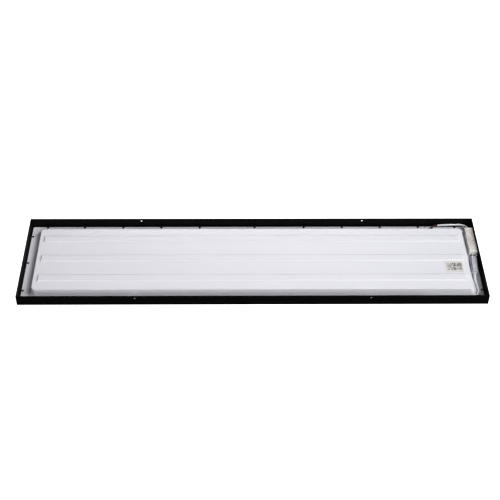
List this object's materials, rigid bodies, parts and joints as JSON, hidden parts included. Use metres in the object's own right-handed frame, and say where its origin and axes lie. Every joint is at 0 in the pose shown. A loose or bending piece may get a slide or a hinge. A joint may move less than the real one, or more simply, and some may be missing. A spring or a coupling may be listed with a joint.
{
  "type": "linear led panel luminaire",
  "caption": "Slim rectangular backlit LED panel light with a black frame, opal diffuser, ribbed white back tray and a driver in its rear channel.",
  "frame": {"origin": "centre of the luminous front face's plane, which the frame's lip rests on", "axes": "+X along the length, +Y across the width towards the side that holds the cable entry, +Z from the luminous face to the rear"},
  "size_m": [1.195, 0.295, 0.03],
  "materials": {
    "frame_black": "satin black powder coat on extruded aluminium",
    "key_metal": "milled aluminium",
    "diffuser_opal": "opal polystyrene",
    "tray_white": "satin white powder coat on steel sheet",
    "screw_black": "black oxide",
    "rubber_black": "matt rubber",
    "tape_white": "foam and film tape",
    "board_white": "white solder mask on aluminium",
    "led_phosphor": "phosphor in a white package",
    "lens_clear": "clear moulded plastic",
    "plug_cream": "moulded nylon",
    "wire_red": "PVC",
    "wire_black": "PVC",
    "label_paper": null,
    "driver_label_film": null,
    "case_white": "moulded polycarbonate",
    "pcb_green": "solder mask",
    "ferrite": "ferrite and tape",
    "capacitor": "sleeved can",
    "choke_copper": "enamelled wire",
    "switch_black": "moulded package",
    "cable_white": "white PVC sheath",
    "wire_brown": "PVC",
    "wire_blue": "PVC",
    "box_smoke": "translucent polycarbonate",
    "brass": "machined",
    "steel_zinc": "zinc plated"
  },
  "bodies": {
    "root": {"frame_side_near": "frame_black", "frame_side_far": "frame_black", "frame_end_left": "frame_black", "frame_end_right": "frame_black", "corner_key_near_left": "key_metal", "corner_key_near_right": "key_metal", "corner_key_far_left": "key_metal", "corner_key_far_right": "key_metal", "diffuser": "diffuser_opal", "back_tray": "tray_white", "tray_grommet": "rubber_black", "tray_screws_near": "screw_black", "tray_screws_far": "screw_black", "tray_screws_left": "screw_black", "tray_screws_right": "screw_black", "board_tapes": "tape_white", "led_board_near": "board_white", "led_board_mid": "board_white", "led_board_far": "board_white", "led_chips_near": "led_phosphor", "led_chips_mid": "led_phosphor", "led_chips_far": "led_phosphor", "lenses_near": "lens_clear", "lenses_mid": "lens_clear", "lenses_far": "lens_clear", "board_connectors": "plug_cream", "link_wires_red": "wire_red", "link_wires_black": "wire_black", "feed_wire_red": "wire_red", "feed_wire_black": "wire_black", "rating_label": "label_paper", "driver_tape": "tape_white", "driver_base": "case_white", "driver_cover": "case_white", "driver_label": "driver_label_film", "driver_board": "pcb_green", "driver_transformer": "ferrite", "driver_capacitors": "capacitor", "driver_choke": "choke_copper", "driver_switch": "switch_black", "driver_bush_out": "case_white", "driver_bush_in": "case_white", "output_lead": "cable_white", "output_core_red": "wire_red", "output_core_black": "wire_black", "input_wire_live": "cable_white", "input_wire_neutral": "cable_white", "joint_box_body": "box_smoke", "joint_box_lid": "box_smoke", "terminal_block": "plug_cream", "terminal_sleeves": "brass", "terminal_screws": "steel_zinc", "mains_lead": "cable_white", "mains_core_brown": "wire_brown", "mains_core_blue": "wire_blue", "mains_ferrules": "steel_zinc"}
  },
  "joints": []
}
